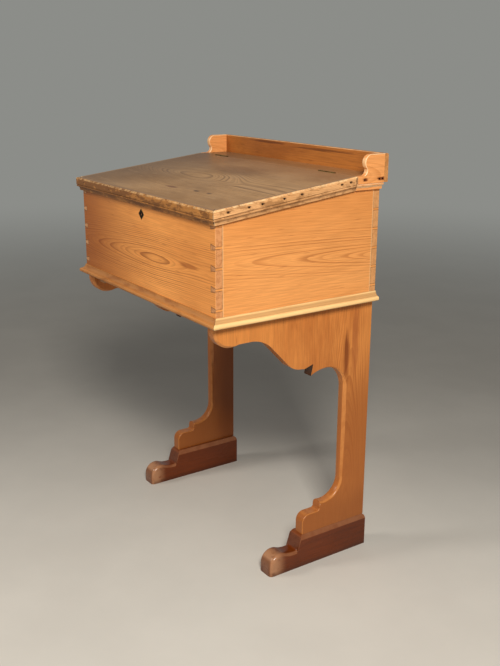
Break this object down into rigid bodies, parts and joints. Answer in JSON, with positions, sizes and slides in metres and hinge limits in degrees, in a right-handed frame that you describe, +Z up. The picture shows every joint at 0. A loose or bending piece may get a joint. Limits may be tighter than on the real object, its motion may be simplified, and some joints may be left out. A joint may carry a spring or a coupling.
{
  "type": "school desk",
  "caption": "School desk: dovetailed pine box with a sloping lift lid, lock and low gallery, on shaped side standards with long feet.",
  "frame": {"origin": "on the floor, at the middle of the whole desk in plan", "axes": "+X to the sitter's right, +Y to the back of the desk, +Z up"},
  "size_m": [0.712, 0.497, 1.047],
  "materials": {
    "box_pine": "waxed honey-coloured pine",
    "moulding_pine": "pale waxed pine",
    "gallery_pine": "waxed orange-brown pine",
    "faded_top": "worn pine, faded grey-brown",
    "stained_edge": "worn dark stain with chips",
    "hidden_pine": "plain unfinished pine",
    "standard_wood": "waxed pinkish-brown pine",
    "foot_wood": "dark red-brown stain, glossy",
    "hinge_brass": "dull aged brass",
    "lock_brass": "aged brass",
    "lock_steel": "plain steel",
    "escutcheon_metal": "dark patinated brass",
    "screw_steel": "dull steel",
    "nail_iron": "dark iron"
  },
  "bodies": {
    "carcass": {"back_board": "box_pine", "base_brads": "nail_iron", "base_moulding_front": "moulding_pine", "base_moulding_left": "moulding_pine", "base_moulding_right": "moulding_pine", "bearer_screws": "screw_steel", "bottom_board_front": "box_pine", "bottom_board_middle": "box_pine", "bottom_board_rear": "box_pine", "bottom_nails": "nail_iron", "end_moulding_brads": "nail_iron", "escutcheon_pins": "escutcheon_metal", "foot_left": "foot_wood", "foot_right": "foot_wood", "foot_screws": "screw_steel", "front_board": "box_pine", "gallery_backboard": "gallery_pine", "gallery_bracket_left": "gallery_pine", "gallery_bracket_right": "gallery_pine", "gallery_nails": "nail_iron", "hinge_pin_left": "hinge_brass", "hinge_pin_right": "hinge_brass", "hinge_screws_shelf": "screw_steel", "hinge_shelf_leaf_left": "hinge_brass", "hinge_shelf_leaf_right": "hinge_brass", "keyhole_escutcheon": "escutcheon_metal", "lock_cap": "lock_brass", "lock_case": "lock_brass", "lock_screws": "screw_steel", "rear_shelf": "faded_top", "shelf_end_moulding_left": "moulding_pine", "shelf_end_moulding_right": "moulding_pine", "shelf_nails": "nail_iron", "side_board_left": "box_pine", "side_board_right": "box_pine", "standard_bearer_left": "hidden_pine", "standard_bearer_right": "hidden_pine", "standard_front_board_left": "standard_wood", "standard_front_board_right": "standard_wood", "standard_rear_board_left": "standard_wood", "standard_rear_board_right": "standard_wood"},
    "lid": {"batten_screws": "screw_steel", "hinge_lid_leaf_left": "hinge_brass", "hinge_lid_leaf_right": "hinge_brass", "hinge_screws_lid": "screw_steel", "lid_batten_left": "hidden_pine", "lid_batten_right": "hidden_pine", "lid_board_front": "faded_top", "lid_board_middle": "faded_top", "lid_board_rear": "faded_top", "lid_edge_front": "stained_edge", "lid_edge_left": "stained_edge", "lid_edge_nails": "nail_iron", "lid_edge_right": "stained_edge", "link_plate": "lock_brass", "link_plate_screws": "screw_steel"},
    "lock_bolt": {"lock_bolt": "lock_steel"}
  },
  "joints": [
    {"name": "lid_hinge", "type": "hinge", "parent": "carcass", "child": "lid", "pos_m": [0, 0.154, 0.9967], "axis": [-1, 0, 0], "range_deg": [0, 126]},
    {"name": "lock_bolt_slide", "type": "slide", "parent": "carcass", "child": "lock_bolt", "axis": [1, 0, 0], "range_m": [0, 0.006]}
  ]
}
